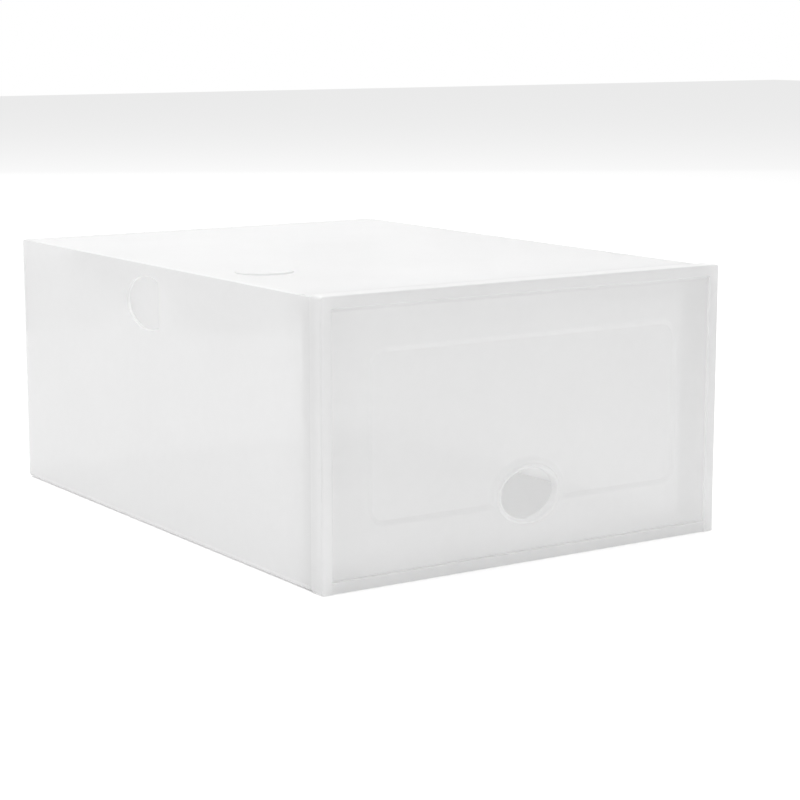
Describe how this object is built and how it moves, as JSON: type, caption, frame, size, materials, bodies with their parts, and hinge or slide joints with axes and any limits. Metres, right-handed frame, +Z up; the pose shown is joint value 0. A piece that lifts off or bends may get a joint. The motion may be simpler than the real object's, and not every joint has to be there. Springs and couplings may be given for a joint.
{
  "type": "foldable shoe box",
  "caption": "Foldable drop-front shoe box: a creased translucent plastic sheet body with a moulded front frame and a flip-up door with a finger hole.",
  "frame": {"origin": "on the floor under the middle of the box's bounding box", "axes": "+Z up, -Y out of the door, +X to the right of someone facing the door"},
  "size_m": [0.24, 0.326, 0.14],
  "materials": {
    "frame": "fine satin moulded white polypropylene with softly rounded edges",
    "door": "frosted translucent white moulded polypropylene",
    "sheet": "frosted translucent white polypropylene sheet, fine calendered grain, creased folds"
  },
  "bodies": {
    "base": {"bottom_panel": "sheet"},
    "frame": {"front_frame": "frame"},
    "door": {"door": "door"},
    "left_side": {"left_panel": "sheet"},
    "right_side": {"right_panel": "sheet"},
    "rear": {"rear_panel": "sheet"},
    "top": {"top_panel": "sheet"},
    "left_flap": {"left_side_flap": "sheet"},
    "right_flap": {"right_side_flap": "sheet"},
    "left_dust": {"left_dust_flap": "sheet"},
    "right_dust": {"right_dust_flap": "sheet"},
    "left_tab": {"left_lock_tab": "sheet"},
    "right_tab": {"right_lock_tab": "sheet"},
    "top_tab": {"top_lock_tab": "sheet"}
  },
  "joints": [
    {"name": "frame_pull", "type": "slide", "parent": "base", "child": "frame", "axis": [0, -1, 0], "range_m": [0, 0.03]},
    {"name": "door_hinge", "type": "hinge", "parent": "frame", "child": "door", "pos_m": [0, -0.16, 0.1322], "axis": [-1, 0, 0], "range_deg": [0, 95]},
    {"name": "left_fold", "type": "hinge", "parent": "base", "child": "left_side", "pos_m": [-0.1188, 0, 0.0014], "axis": [0, -1, 0], "range_deg": [0, 90]},
    {"name": "right_fold", "type": "hinge", "parent": "base", "child": "right_side", "pos_m": [0.1188, 0, 0.0014], "axis": [0, 1, 0], "range_deg": [0, 90]},
    {"name": "rear_fold", "type": "hinge", "parent": "base", "child": "rear", "pos_m": [0, 0.1626, 0.0014], "axis": [-1, 0, 0], "range_deg": [0, 90]},
    {"name": "top_fold", "type": "hinge", "parent": "rear", "child": "top", "pos_m": [0, 0.1626, 0.1384], "axis": [-1, 0, 0], "range_deg": [0, 90]},
    {"name": "left_flap_fold", "type": "hinge", "parent": "top", "child": "left_flap", "pos_m": [-0.1178, 0, 0.1384], "axis": [0, -1, 0], "range_deg": [0, 50]},
    {"name": "right_flap_fold", "type": "hinge", "parent": "top", "child": "right_flap", "pos_m": [0.1178, 0, 0.1384], "axis": [0, 1, 0], "range_deg": [0, 50]},
    {"name": "left_dust_fold", "type": "hinge", "parent": "left_side", "child": "left_dust", "pos_m": [-0.1188, 0.1616, 0], "axis": [0, 0, -1], "range_deg": [0, 50]},
    {"name": "right_dust_fold", "type": "hinge", "parent": "right_side", "child": "right_dust", "pos_m": [0.1188, 0.1616, 0], "axis": [0, 0, 1], "range_deg": [0, 50]},
    {"name": "left_tab_press", "type": "hinge", "parent": "left_side", "child": "left_tab", "pos_m": [-0.1188, -0.004, 0.1186], "axis": [0, 0, -1], "range_deg": [0, 20], "stiffness_Nm_per_rad": 0.02},
    {"name": "right_tab_press", "type": "hinge", "parent": "right_side", "child": "right_tab", "pos_m": [0.1188, -0.004, 0.1186], "axis": [0, 0, 1], "range_deg": [0, 20], "stiffness_Nm_per_rad": 0.02},
    {"name": "top_tab_press", "type": "hinge", "parent": "top", "child": "top_tab", "pos_m": [-0.086, -0.044, 0.1384], "axis": [1, 0, 0], "range_deg": [0, 15], "stiffness_Nm_per_rad": 0.02}
  ]
}
